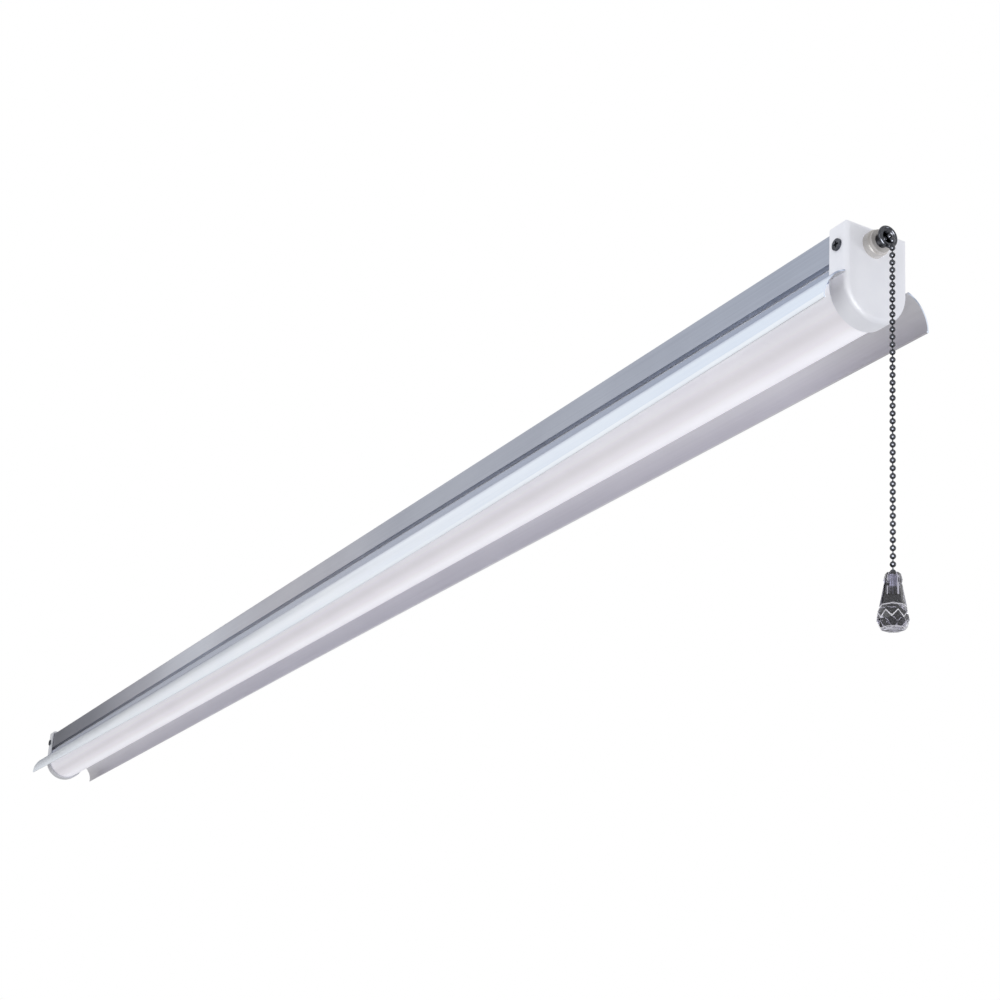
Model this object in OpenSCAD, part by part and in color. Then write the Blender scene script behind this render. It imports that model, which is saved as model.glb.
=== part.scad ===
// Hanging shop light, one lamp wide, with a pull switch in its near end.
// Millimetres. X runs along the light, towards the switch end; Z is up.
// The origin is the middle of the housing's top face.

/* [Overall] */
// Length over the two end caps
light_l = 1200; // [1100:10:1500]

/* [Housing] */
// Width of the channel
housing_w = 31.6; // [31:0.1:35]
// Height of the channel's sides
housing_h = 14.1; // [14:0.1:18]
// Wall of the channel and of its lips
housing_t = 1; // [0.8:0.1:1.2]
// Radius along the channel's two top edges
housing_r = 1.2; // [0.6:0.1:2]
// Width of each lip turned in along the bottom
lip_w = 3; // [2.6:0.1:3.2]

/* [Hanging holes] */
// Distance between the two pairs of holes, along the light
hang_x = 1000; // [300:10:1040]
// Distance between the two holes of a pair
hang_y = 18; // [14:0.5:22]
// Diameter of a hanging hole
hang_d = 4.5; // [3:0.1:5]

/* [Gear tray] */
// Sheet of the tray
tray_t = 0.8; // [0.6:0.1:1]
// Gap between the tray's side and the edge of a lip
tray_gap = 0.3; // [0.2:0.1:0.5]
// Width of the tray's rim that rests on a lip
tray_rim_w = 2; // [1.4:0.1:2.4]
// Height of the open groove between the housing and the reflector
groove_h = 3.1; // [2.5:0.1:5]

/* [Reflector] */
// Sheet of the reflector
sheet_t = 0.7; // [0.5:0.1:0.9]
// How far the raised middle stands in from the housing's side
middle_inset = 0.4; // [0.2:0.1:0.6]
// Drop from the top of the raised middle to the top of the wings
middle_h = 4.6; // [4:0.1:8]
// Outer radius of each quarter-round wing
wing_r = 16.5; // [15:0.1:20]
// How far each wing's centre stands in from the wall that it leaves
wing_tuck = 2.8; // [2:0.1:3.2]
// Diameter of the bead rolled along each wing's free edge
hem_d = 1.2; // [1:0.1:1.6]
// Gap between a wing and the side of an end cap
wing_gap = 0.3; // [0.2:0.1:0.5]

/* [Diffuser] */
// Depth of the lens's centre line below the top face
lens_depth = 24.8; // [24.2:0.1:28]
// Wall of the lens
lens_t = 1.2; // [1:0.1:1.5]
// Gap round the lens where it meets the caps and the reflector
lens_gap = 0.3; // [0.2:0.1:0.4]

/* [End caps] */
// Depth of a cap along the light
cap_l = 11; // [10:0.5:16]
// Side wall of a cap
cap_t = 1.05; // [0.9:0.05:1.4]
// Front wall of a cap
cap_face_t = 1.6; // [1.2:0.1:2.2]
// Top wall of a cap
cap_roof_t = 2.2; // [1.4:0.1:2.6]
// Gap between the housing and a cap's side wall
cap_gap = 0.15; // [0.1:0.05:0.3]
// Radius round a cap's front face and along its top
cap_r = 2.4; // [1.4:0.1:2.6]
// Distance of the cap screw behind the front face
cap_screw_x = 5.6; // [5.2:0.1:7.5]
// Depth of the cap screw below the top face
cap_screw_z = 8.5; // [6:0.1:10]

/* [Light boards] */
// Width of a board
board_w = 18; // [14:0.5:19]
// Thickness of a board
board_t = 1.2; // [1:0.1:1.6]
// Gap between the two boards, and from a board to a cap
board_gap = 2; // [1:0.5:6]
// Light chips on each board
chip_count = 40; // [10:1:60]
// Length of a chip
chip_l = 3.5; // [2:0.1:5]
// Width of a chip
chip_w = 2.8; // [2:0.1:5]
// Thickness of a chip
chip_t = 0.7; // [0.4:0.1:1]

/* [Driver] */
// Length of the driver's case
driver_l = 150; // [120:5:200]
// Width of the driver's case
driver_w = 18; // [17:0.1:18]
// Height of the driver's case
driver_h = 11.5; // [11:0.1:13]
// Wall of the driver's case and lid
driver_t = 0.7; // [0.5:0.1:0.9]
// Distance of the driver's middle from the near end
driver_inset = 200; // [170:5:350]

/* [Cord inlet] */
// Bore of the cord grommet in the far cap
inlet_d = 6.4; // [5:0.1:7]
// Depth of the grommet's centre below the top face
inlet_z = 8; // [7:0.1:9]

/* [Pull switch] */
// How far the nozzle stands off the light's middle plane
switch_off = 2; // [1:0.1:2.5]
// Depth of the nozzle's centre line below the top face
switch_z = 6.5; // [6.3:0.1:7]
// How far the chain hangs in front of the cap
chain_out = 12; // [11.8:0.1:14]
// Diameter of the white collar
collar_d = 12; // [10:0.1:13]
// Length of the white collar's wide part
collar_l = 3.4; // [3:0.1:5]
// Diameter of the collar's narrow front part
collar_nose_d = 10.6; // [9:0.1:11]
// Length of the collar's narrow front part
collar_nose_l = 1.5; // [1:0.1:2]
// Diameter of the nozzle
nozzle_d = 6.2; // [6:0.1:8]
// Bore of the nozzle
nozzle_bore = 3.8; // [3.4:0.1:4]
// Diameter over the lip of the bell mouth
bell_d = 10.2; // [9.6:0.1:11]
// Radius at which the chain winds on the drum
drum_r = 5.5; // [5.3:0.1:5.8]

/* [Ball chain] */
// Diameter of a bead
bead_d = 2.6; // [2.4:0.1:2.8]
// Distance from bead to bead
bead_pitch = 3.45; // [3.3:0.01:3.8]
// Wall of the hollow bead
bead_t = 0.35; // [0.3:0.01:0.36]
// Diameter of a link's rod
rod_d = 0.56; // [0.5:0.01:0.6]
// Diameter of the two heads of a link
head_d = 0.84; // [0.8:0.01:0.86]
// Beads that hang between the bell mouth and the knob
bead_count = 42; // [20:1:60]
// Radius at which the chain turns down in the bell mouth
turn_r = 3.1; // [3:0.1:3.4]

/* [Knob] */
// Height of the knob
knob_h = 23.2; // [22:0.1:30]
// Width of the knob at its widest
knob_w = 13.1; // [11:0.1:16]
// Width of the knob's top
knob_top_w = 6.2; // [5.8:0.1:7]
// Facets round the knob
knob_facets = 8; // [6:1:12]

/* [Hidden] */
$fn = 48;

// How far a cut runs past the face that it opens
over = 1;

// Half length over the caps, and the places that follow from it
half_l = light_l / 2;
face_x = half_l - cap_face_t;
rim_x = half_l - cap_l;
// Half widths and levels of the housing
side_y = housing_w / 2;
lip_z = -housing_h + housing_t;
// The raised middle of the reflector
roof_z = -housing_h - groove_h;
middle_y = side_y - middle_inset;
wing_top = roof_z - middle_h;
wing_y = middle_y - sheet_t / 2 - wing_tuck;
wing_z = wing_top - wing_r;
middle_end = rim_x - wing_gap;
// The tray
tray_y = side_y - lip_w - tray_gap;
tray_floor = roof_z + tray_t;
tray_end = rim_x - board_gap / 2;
// The caps
cap_y = side_y + cap_gap + cap_t;
cap_in = side_y + cap_gap;
cap_top = cap_gap + cap_roof_t;
// The lens
lens_r = cap_in - lens_gap;
foot_y = middle_y - sheet_t - lens_gap;
lens_end = face_x - lens_gap;
wing_in = wing_r - sheet_t;
wing_drop = wing_in - sqrt(pow(wing_in, 2) - pow(lens_r - wing_y, 2));
shoulder_z = wing_top - wing_drop - sheet_t - lens_gap;
foot_z = roof_z - sheet_t - lens_gap;
// The light boards
board_z = roof_z - sheet_t;
board_end = middle_end - board_gap;
board_l = board_end - board_gap / 2;
chip_pitch = board_l / chip_count;
chip_z = board_z - board_t - chip_t;

// Rivets through reflector and tray
rivet_d = 1.6;
rivet_head_d = 2.5;
rivet_head_h = 0.6;
rivet_edge = 0.1;
rivet_y = board_w / 2 + rivet_edge + rivet_head_d / 2;
rivet_x_share = [-0.85, -0.3, 0.3, 0.85];
// Screws through the boards
screw_d = 2.4;
screw_head_d = 4;
screw_head_h = 1.2;
hole_gap = 0.1;
board_screw_y = 6;
board_screw_share = [0.08, 0.5, 0.92];
// Connector between the boards
connector_l = 14;
connector_w = 5;
connector_t = 2.4;

// Cap screws
cap_screw_d = 2.8;
cap_screw_len = 4.5;
cap_head_d = 5.4;
cap_head_h = 1;
cap_hole_gap = 0.25;
cap_drive_w = 0.9;
cap_drive_l = 3;
cap_drive_h = 0.6;

// Driver
driver_x = half_l - driver_inset;
driver_y = -switch_off;
driver_z = tray_floor;
driver_rail = 1.6;
driver_rail_w = 0.9;
driver_fit = 0.1;
driver_ear = 7;
driver_hole_d = 4;
driver_board_t = 1.2;
driver_end = driver_l / 2;
driver_board_z = driver_z + driver_t + driver_rail;
driver_parts_z = driver_board_z + driver_board_t;
coil_l = 15;
coil_w = 11;
coil_h = 5.6;
coil_flange_t = 1;
can_d = 5;
can_h = 5.4;
can_gap = 1.5;
can_x = 25;
choke_d = 9;
choke_t = 3;
choke_x = -40;

// Terminal block
block_l = 16;
block_w = 14;
block_h = 8;
block_hole_d = 3;
block_screw_d = 3.6;
block_screw_h = 1;
block_pitch = 6;
block_gap = 4;
block_x = -(rim_x - block_gap - block_l / 2);

// Leads
lead_d = 1.6;
lead_sleeve_share = 1.25;
lead_cover_share = 0.8;
led_lead_d = 1;
lead_lift = 0.4;
lead_z = tray_floor + rivet_head_h + lead_lift + lead_d / 2;
lead_pitch = 3.1;
lead_y1 = tray_y - tray_t - 3 * lead_lift - lead_d / 2;
lead_y2 = lead_y1 - lead_pitch;
lead_bend = 8;

// Grommet
grommet_neck_gap = 0.1;
grommet_t = 1.2;
grommet_flange_t = 1.6;
grommet_flange_w = 1.2;
inlet_hole_d = inlet_d + 2 * grommet_t + 2 * grommet_neck_gap;

// Switch, from the cap's wall inwards
axis_y = -switch_off;
axis_z = -switch_z;
chain_x = half_l + chain_out;
bead_r = bead_d / 2;
head_off = 0.47;
hole_r = 0.36;
mouth_gap = 0.75;
mouth_x = chain_x - bead_r - mouth_gap;
bell_l = 2.6;
lip_r = 0.8;
flare_out_r = 2.9;
flare_in_r = 2.73;
nozzle_in = 1.1;
nozzle_run_gap = 0.1;
collar_edge = 0.4;
turn_l = turn_r * PI / 2;
inner_beads = 6;
inner_x = chain_x - turn_r - (3 * bead_pitch - turn_l);
drum_x = inner_x - (inner_beads - 1) * bead_pitch;
drum_y = axis_y + drum_r;
pin_d = 3;
pin_run = 0.05;
base_t = 1.2;
base_l = 21;
base_w = 20;
base_shift = 2;
base_gap = 0.1;
base_y = drum_y - base_shift;
base_top = -housing_t - base_gap;
base_h = 10.9;
base_front = face_x;
base_back = base_front - base_l;
base_low = base_top - base_h;
cavity_y = base_w / 2 - base_t;
drum_t = 4.4;
drum_flange_t = 0.6;
drum_lip = 0.9;
drum_gap = 0.3;
drum_flange_r = drum_r + drum_lip;
drum_hub_r = drum_r - bead_r - drum_gap;
rotor_r = 5;
rotor_t = 1.4;
rotor_gap = 0.3;
rotor_top = axis_z - drum_t / 2 - rotor_gap;
bridge_w = 2;
bridge_t = 0.5;
blade_t = 0.4;
blade_l = 9;
blade_h = 1.8;
blade_gap = 0.3;
spring_wire = 0.4;
spring_r = 2.5;
spring_pitch = 0.85;
spring_curls = 1.25;
spring_gap = 0.26;
spring_z = axis_z + drum_t / 2 + spring_gap + spring_wire / 2;
wrap_beads = 3;
wrap_step = 2 * asin(bead_pitch / 2 / drum_r);

// Chain: it turns down round a quarter circle in the mouth, to bead 0. The last ones sit in the knob.
function bead_z(i) = axis_z - turn_r - i * bead_pitch;
function turn_angle(i) = min(90, i * bead_pitch / turn_r * 180 / PI);
function turn_x(i) = chain_x - turn_r + turn_r * cos(turn_angle(i)) - max(0, i * bead_pitch - turn_l);
function turn_z(i) = axis_z - turn_r + turn_r * sin(turn_angle(i));
swing_last = 2;
run_last = bead_count;
slot_w = 2 * hole_r;

// Knob
knob_sink = 0.55;
knob_top = bead_z(bead_count + 1) - knob_sink;
socket_gap = 0.35;
socket_d = bead_d + 2 * socket_gap;
socket_l = 1;
cup_d = 4.2;
cup_l = 8.4;
cup_t = 0.5;
cup_fit = 0.1;
cup_mouth_d = 2;
knob_pin_d = 1.2;
knob_pin_z = 5.1;
knob_pin_fit = 0.05;
knob_pin_out = 0.3;
knob_level_share = [0, 0.11, 0.17, 0.6, 0.72, 0.84, 0.93, 1];
knob_size_share = [0, 0.2, 0.12, 0.68, 0.95, 1, 0.86, 0.55];
knob_turn_share = [0, 0, 0, 0, 0.5, 0, 0.5, 0.5];

// A profile drawn across the light, run along it from x0 to x1
module along_x(x0, x1) {
    translate([x0, 0, 0])
        rotate([90, 0, 90])
            linear_extrude(x1 - x0) children();
}

// A round bar between two points
module bar(p, q, d) {
    v = q - p;
    len = norm(v);
    translate(p)
        rotate([0, acos(v[2] / len), atan2(v[1], v[0])])
            cylinder(h = len, d = d);
}

// A lead in straight lengths, with a short sleeve over each bend
module lead(points, d) {
    union()
        for (i = [1 : len(points) - 1]) {
            v = points[i] - points[i - 1];
            half = v / norm(v) * d * lead_cover_share;
            bar(points[i - 1], points[i], d);
            if (i < len(points) - 1)
                bar(points[i] - half, points[i] + half, d * lead_sleeve_share);
        }
}

// A screw or rivet with its head up, its seat at the origin
module fastener(shank_d, shank_l, head_d, head_h) {
    cylinder(h = head_h, d = head_d);
    translate([0, 0, -shank_l])
        cylinder(h = shank_l + head_h / 2, d = shank_d);
}

// Housing
module housing_outline() {
    difference() {
        union() {
            translate([-side_y, -housing_h])
                square([housing_w, housing_h - housing_r]);
            translate([-side_y + housing_r, -housing_r])
                square([housing_w - 2 * housing_r, housing_r]);
            for (s = [-1, 1])
                translate([s * (side_y - housing_r), -housing_r])
                    circle(r = housing_r);
        }
        translate([-side_y + housing_t, lip_z])
            square([housing_w - 2 * housing_t, -housing_t - lip_z]);
        translate([-side_y + lip_w, -housing_h - over])
            square([housing_w - 2 * lip_w, housing_h]);
    }
}

module hang_holes() {
    for (sx = [-1, 1], sy = [-1, 1])
        translate([sx * hang_x / 2, sy * hang_y / 2, -housing_t - over])
            cylinder(h = housing_t + 2 * over, d = hang_d);
}

module cap_screw_holes(d) {
    for (s = [-1, 1])
        translate([s * (half_l - cap_screw_x), cap_y + over, -cap_screw_z])
            rotate([90, 0, 0])
                cylinder(h = 2 * (cap_y + over), d = d);
}

module housing_channel() {
    color("#a8adb8")
        difference() {
            along_x(-face_x, face_x) housing_outline();
            hang_holes();
            cap_screw_holes(cap_screw_d + hole_gap);
        }
}

// Gear tray
module tray_outline() {
    rim_z = lip_z;
    for (s = [-1, 1]) {
        translate([s > 0 ? tray_y - tray_t : -tray_y, roof_z])
            square([tray_t, rim_z + tray_t - roof_z]);
        translate([s > 0 ? tray_y - tray_t : -tray_y - tray_rim_w, rim_z])
            square([tray_rim_w + tray_t, tray_t]);
    }
    translate([-tray_y, roof_z])
        square([2 * tray_y, tray_t]);
}

module rivet_places() {
    for (share = rivet_x_share, s = [-1, 1])
        translate([share * board_end, s * rivet_y, 0]) children();
}

module board_screw_places() {
    for (share = board_screw_share, s = [-1, 1])
        translate([s * (board_gap / 2 + share * board_l), s * board_screw_y, 0]) children();
}

led_hole_x = driver_x - driver_end - 2 * driver_ear - lead_bend;
led_hole_d = 2;

module middle_holes(z0, z1) {
    rivet_places()
        translate([0, 0, z0]) cylinder(h = z1 - z0, d = rivet_d + hole_gap);
    board_screw_places()
        translate([0, 0, z0]) cylinder(h = z1 - z0, d = screw_d + hole_gap);
    translate([led_hole_x, -rivet_y, z0])
        cylinder(h = z1 - z0, d = led_hole_d);
}

module driver_screw_places() {
    for (s = [-1, 1])
        translate([driver_x + s * (driver_end + driver_ear / 2), driver_y, 0]) children();
}

module gear_tray() {
    color("#6c7078")
        difference() {
            along_x(-tray_end, tray_end) tray_outline();
            middle_holes(roof_z - over, tray_floor + over);
            driver_screw_places()
                translate([0, 0, roof_z - over])
                    cylinder(h = tray_t + 2 * over, d = screw_d + hole_gap);
        }
}

// Reflector
module middle_outline() {
    translate([-middle_y, board_z])
        square([2 * middle_y, sheet_t]);
    for (s = [-1, 1])
        translate([s > 0 ? middle_y - sheet_t : -middle_y, wing_top - sheet_t])
            square([sheet_t, roof_z - wing_top + sheet_t]);
}

module wing_outline(y0) {
    intersection() {
        difference() {
            translate([wing_y, wing_z]) circle(r = wing_r);
            translate([wing_y, wing_z]) circle(r = wing_r - sheet_t);
        }
        translate([y0, wing_z])
            square([wing_y + wing_r + over - y0, wing_r + over]);
    }
    translate([wing_y + wing_r - hem_d / 2, wing_z])
        circle(d = hem_d);
}

module both_sides() {
    children();
    mirror([1, 0]) children();
}

module reflector() {
    color("#c9ccd4")
        difference() {
            union() {
                along_x(-middle_end, middle_end) {
                    middle_outline();
                    both_sides() wing_outline(middle_y - sheet_t);
                }
                for (s = [-1, 1])
                    along_x(s > 0 ? middle_end - over : -half_l, s > 0 ? half_l : -middle_end + over)
                        both_sides() wing_outline(cap_y + wing_gap);
            }
            middle_holes(board_z - over, roof_z + over);
        }
}

module reflector_rivets() {
    color("#b8bcc4")
        rivet_places() {
            translate([0, 0, tray_floor])
                fastener(rivet_d, tray_t + sheet_t, rivet_head_d, rivet_head_h);
            translate([0, 0, board_z])
                mirror([0, 0, 1]) cylinder(h = rivet_head_h, d = rivet_head_d);
        }
}

// Light boards
module led_board() {
    difference() {
        translate([board_gap / 2, -board_w / 2, board_z - board_t])
            cube([board_l, board_w, board_t]);
        for (share = board_screw_share)
            translate([board_gap / 2 + share * board_l, board_screw_y, board_z - board_t - over])
                cylinder(h = board_t + 2 * over, d = screw_d + hole_gap);
    }
}

module led_chips() {
    for (i = [0 : chip_count - 1])
        translate([board_gap / 2 + (i + 0.5) * chip_pitch - chip_l / 2, -chip_w / 2, chip_z])
            cube([chip_l, chip_w, chip_t]);
}

module led_board_near() {
    color("#f2f2ee") led_board();
}

module led_board_far() {
    color("#f2f2ee") rotate([0, 0, 180]) led_board();
}

module led_chips_near() {
    color("#f5e27a") led_chips();
}

module led_chips_far() {
    color("#f5e27a") rotate([0, 0, 180]) led_chips();
}

module board_screws() {
    color("#c0c0c0")
        board_screw_places()
            translate([0, 0, board_z - board_t])
                mirror([0, 0, 1])
                    fastener(screw_d, board_t + sheet_t + tray_t, screw_head_d, screw_head_h);
}

module board_connector() {
    color("#f4f4f0")
        difference() {
            translate([-connector_l / 2, -board_w / 2, board_z - board_t - connector_t])
                cube([connector_l, connector_w, connector_t]);
            translate([-board_gap / 2, -board_w / 2 - over, board_z - board_t - connector_t / 2])
                cube([board_gap, connector_w + 2 * over, connector_t]);
        }
}

// Diffuser
module lens_half() {
    translate([foot_y - lens_t, shoulder_z - lens_t])
        square([lens_t, foot_z - shoulder_z + lens_t]);
    translate([foot_y - lens_t, shoulder_z - lens_t])
        square([lens_r - foot_y + lens_t, lens_t]);
    translate([lens_r - lens_t, -lens_depth])
        square([lens_t, shoulder_z + lens_depth]);
}

module lens_outline() {
    difference() {
        translate([0, -lens_depth]) circle(r = lens_r);
        translate([0, -lens_depth]) circle(r = lens_r - lens_t);
        translate([-lens_r - over, -lens_depth])
            square([2 * (lens_r + over), lens_r + over]);
    }
    both_sides() lens_half();
}

module diffuser() {
    color("#f3edf0")
        along_x(-lens_end, lens_end) lens_outline();
}

// End caps: the upper block and the half-round bowl share their rounding
module rim_profile(w) {
    difference() {
        translate([0, rim_x]) square([w, cap_l]);
        translate([w - cap_r, half_l - cap_r]) square([cap_r + over, cap_r + over]);
    }
    translate([w - cap_r, half_l - cap_r]) circle(r = cap_r);
}

module cap_cross() {
    translate([-cap_y, -lens_depth])
        square([2 * cap_y, lens_depth + cap_top - cap_r]);
    translate([-cap_y + cap_r, cap_top - 2 * cap_r])
        square([2 * (cap_y - cap_r), 2 * cap_r]);
    for (s = [-1, 1])
        translate([s * (cap_y - cap_r), cap_top - cap_r]) circle(r = cap_r);
}

module cap_side() {
    translate([rim_x, -lens_depth])
        square([cap_l, lens_depth + cap_top - cap_r]);
    translate([rim_x, cap_top - 2 * cap_r])
        square([cap_l - cap_r, 2 * cap_r]);
    translate([half_l - cap_r, cap_top - cap_r]) circle(r = cap_r);
}

module cap_solid() {
    intersection() {
        translate([0, 0, -lens_depth])
            linear_extrude(lens_depth + cap_top)
                rotate(-90) both_sides() rim_profile(cap_y);
        along_x(rim_x, half_l) cap_cross();
        rotate([90, 0, 0])
            linear_extrude(2 * cap_y, center = true) cap_side();
    }
    translate([0, 0, -lens_depth])
        rotate([0, 90, 0])
            rotate([0, 0, -90])
                rotate_extrude(angle = 180) rim_profile(cap_y);
}

module cap_hollow() {
    along_x(rim_x - over, face_x) {
        translate([-cap_in, -lens_depth])
            square([2 * cap_in, lens_depth + cap_gap]);
        translate([0, -lens_depth]) circle(r = cap_in);
    }
}

module end_cap() {
    difference() {
        cap_solid();
        cap_hollow();
        cap_screw_holes(cap_screw_d + 2 * cap_hole_gap);
    }
}

module end_cap_near() {
    color("#f4f5fa")
        difference() {
            end_cap();
            translate([face_x - over, axis_y, axis_z])
                rotate([0, 90, 0])
                    cylinder(h = cap_face_t + 2 * over, d = nozzle_d + 2 * nozzle_run_gap);
        }
}

module end_cap_far() {
    color("#f4f5fa")
        rotate([0, 0, 180])
            difference() {
                end_cap();
                translate([face_x - over, 0, -inlet_z])
                    rotate([0, 90, 0])
                        cylinder(h = cap_face_t + 2 * over, d = inlet_hole_d);
            }
}

module cap_screw() {
    difference() {
        fastener(cap_screw_d, cap_screw_len, cap_head_d, cap_head_h);
        translate([0, 0, cap_head_h - cap_drive_h / 2])
            for (a = [0, 90])
                rotate([0, 0, a])
                    cube([cap_drive_l, cap_drive_w, cap_drive_h + over], center = true);
    }
}

module cap_screw_pair() {
    for (s = [-1, 1])
        translate([half_l - cap_screw_x, s * cap_y, -cap_screw_z])
            rotate([-s * 90, 0, 0]) cap_screw();
}

module cap_screws_near() {
    color("#4a4c52") cap_screw_pair();
}

module cap_screws_far() {
    color("#4a4c52") rotate([0, 0, 180]) cap_screw_pair();
}

// Driver
module at_driver() {
    translate([driver_x, driver_y, driver_z]) children();
}

module driver_case() {
    rail_y = driver_w / 2 - driver_t - driver_rail_w / 2;
    color("#c8cad0")
        at_driver()
            difference() {
                union() {
                    difference() {
                        translate([-driver_end, -driver_w / 2, 0])
                            cube([driver_l, driver_w, driver_h - driver_t]);
                        translate([-driver_end + driver_t, -driver_w / 2 + driver_t, driver_t])
                            cube([driver_l - 2 * driver_t, driver_w - 2 * driver_t, driver_h]);
                    }
                    for (s = [-1, 1])
                        translate([0, s * rail_y, (driver_rail + driver_t) / 2])
                            cube([
                                driver_l - driver_t,
                                driver_rail_w + driver_t,
                                driver_rail + driver_t
                            ], center = true);
                    translate([-driver_end - driver_ear, -driver_w / 4, 0])
                        cube([driver_l + 2 * driver_ear, driver_w / 2, driver_t]);
                }
                for (s = [-1, 1]) {
                    translate([s * (driver_end + driver_ear / 2), 0, -over])
                        cylinder(h = driver_t + 2 * over, d = screw_d + hole_gap);
                    translate([s * driver_end, 0, driver_h / 2 + driver_t])
                        rotate([0, 90, 0])
                            cylinder(h = 2 * over, d = driver_hole_d, center = true);
                }
            }
}

module driver_lid() {
    color("#c8cad0")
        at_driver()
            translate([-driver_end, -driver_w / 2, driver_h - driver_t])
                cube([driver_l, driver_w, driver_t]);
}

module driver_board() {
    board_l2 = driver_l - 2 * (driver_t + driver_fit);
    board_w2 = driver_w - 2 * (driver_t + driver_fit);
    color("#3f7d4a")
        translate([driver_x - board_l2 / 2, driver_y - board_w2 / 2, driver_board_z])
            cube([board_l2, board_w2, driver_board_t]);
}

module driver_transformer() {
    color("#d8b84a")
        translate([driver_x, driver_y, driver_parts_z]) {
            translate([-coil_l / 2, -coil_w / 2, 0])
                cube([coil_flange_t, coil_w, coil_h]);
            translate([coil_l / 2 - coil_flange_t, -coil_w / 2, 0])
                cube([coil_flange_t, coil_w, coil_h]);
            translate([-coil_l / 2 + coil_flange_t, 0, coil_h / 2])
                rotate([0, 90, 0])
                    cylinder(h = coil_l - 2 * coil_flange_t, d = coil_h - coil_flange_t);
        }
}

module driver_capacitors() {
    color("#2c3a66")
        for (i = [0 : 2])
            translate([driver_x + can_x + i * (can_d + can_gap), driver_y, driver_parts_z])
                cylinder(h = can_h, d = can_d);
}

module driver_choke() {
    color("#b06a2c")
        translate([driver_x + choke_x, driver_y, driver_parts_z + choke_t / 2])
            rotate_extrude()
                translate([(choke_d - choke_t) / 2, 0]) circle(d = choke_t);
}

module driver_screws() {
    color("#c0c0c0")
        driver_screw_places()
            translate([0, 0, driver_z + driver_t])
                fastener(screw_d, driver_t + tray_t, screw_head_d, screw_head_h);
}

// Cord inlet and terminals
module terminal_block() {
    color("#f0efe8")
        difference() {
            translate([block_x - block_l / 2, -block_w / 2, tray_floor])
                cube([block_l, block_w, block_h]);
            for (s = [-1, 1]) {
                translate([block_x, s * block_pitch / 2, tray_floor + block_h / 2 - block_screw_h])
                    rotate([0, 90, 0])
                        cylinder(h = block_l + 2 * over, d = block_hole_d, center = true);
                translate([block_x, s * block_pitch / 2, tray_floor + block_h / 2])
                    cylinder(h = block_h, d = block_screw_d + 2 * hole_gap);
            }
        }
}

module terminal_screws() {
    color("#b9a25a")
        for (s = [-1, 1])
            translate([block_x, s * block_pitch / 2, tray_floor + block_h / 2 + block_screw_h])
                cylinder(h = block_h / 2 - 2 * block_screw_h, d = block_screw_d);
}

module cord_grommet() {
    neck_r = inlet_d / 2 + grommet_t;
    flange_r = neck_r + grommet_flange_w;
    color("#3a3a3c")
        translate([-half_l, 0, -inlet_z])
            rotate([0, 90, 0])
                difference() {
                    union() {
                        translate([0, 0, -grommet_flange_t]) cylinder(h = grommet_flange_t, r = flange_r);
                        translate([0, 0, -over]) cylinder(h = cap_face_t + 2 * over, r = neck_r);
                        translate([0, 0, cap_face_t]) cylinder(h = grommet_flange_t, r = flange_r);
                    }
                    translate([0, 0, -grommet_flange_t - over])
                        cylinder(h = cap_face_t + 2 * (grommet_flange_t + over), d = inlet_d);
                }
}

module supply_leads() {
    block_face = block_x + block_l / 2;
    hole_z = tray_floor + block_h / 2 - block_screw_h;
    driver_hole = driver_z + driver_h / 2 + driver_t;
    color("#2a2a2c") {
        lead([
            [block_face - block_hole_d, block_pitch / 2, hole_z],
            [block_face + lead_d, block_pitch / 2, hole_z],
            [block_face + lead_bend, lead_y1, lead_z],
            [base_back - 2 * lead_bend, lead_y1, lead_z],
            [base_back - lead_lift - lead_d, lead_y1 - lead_d, axis_z]
        ], lead_d);
        lead([
            [block_face - block_hole_d, -block_pitch / 2, hole_z],
            [block_face + lead_d, -block_pitch / 2, hole_z],
            [block_face + 2 * lead_bend, lead_y2, lead_z],
            [driver_x - driver_end - 2 * driver_ear, lead_y2, lead_z],
            [driver_x - driver_end - driver_ear, driver_y + driver_hole_d / 4, driver_hole],
            [driver_x - driver_end, driver_y + driver_hole_d / 4, driver_hole]
        ], lead_d);
    }
}

module switch_leads() {
    driver_hole = driver_z + driver_h / 2 + driver_t;
    seat_z = driver_hole - (driver_hole_d - lead_d - lead_lift) / 2;
    color("#7a1f1f")
        lead([
            [driver_x + driver_end, driver_y, seat_z],
            [driver_x + driver_end + driver_ear, driver_y, seat_z],
            [base_back - 2 * lead_bend, axis_y, axis_z],
            [base_back - lead_lift - lead_d / 2, axis_y, axis_z]
        ], lead_d);
}

module led_leads() {
    driver_hole = driver_z + driver_h / 2 + driver_t;
    pad_z = board_z - board_t - lead_lift - led_lead_d / 2;
    led_lead_y = (driver_hole_d - led_lead_d - lead_lift) / 2;
    color("#c83a3a")
        lead([
            [driver_x - driver_end, driver_y - led_lead_y, driver_hole],
            [driver_x - driver_end - driver_ear, driver_y - led_lead_y, driver_hole],
            [led_hole_x, -rivet_y, tray_floor + led_lead_d],
            [led_hole_x, -rivet_y, pad_z],
            [led_hole_x, -board_w / 2 + led_lead_d, pad_z]
        ], led_lead_d);
}

// Pull switch
module switch_base() {
    color("#5a4636")
        difference() {
            translate([base_back, base_y - base_w / 2, base_low + base_t])
                cube([base_l, base_w, base_h - base_t]);
            translate([base_back + base_t, base_y - cavity_y, base_low])
                cube([base_l - 2 * base_t, 2 * cavity_y, base_h - base_t]);
            translate([drum_x, drum_y, base_top - base_t - over])
                cylinder(h = base_t / 2 + over, d = pin_d + 2 * pin_run);
            translate([base_front - base_t - over, axis_y, axis_z])
                rotate([0, 90, 0])
                    cylinder(h = base_t + 2 * over, d = nozzle_d + 2 * nozzle_run_gap);
        }
}

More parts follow.
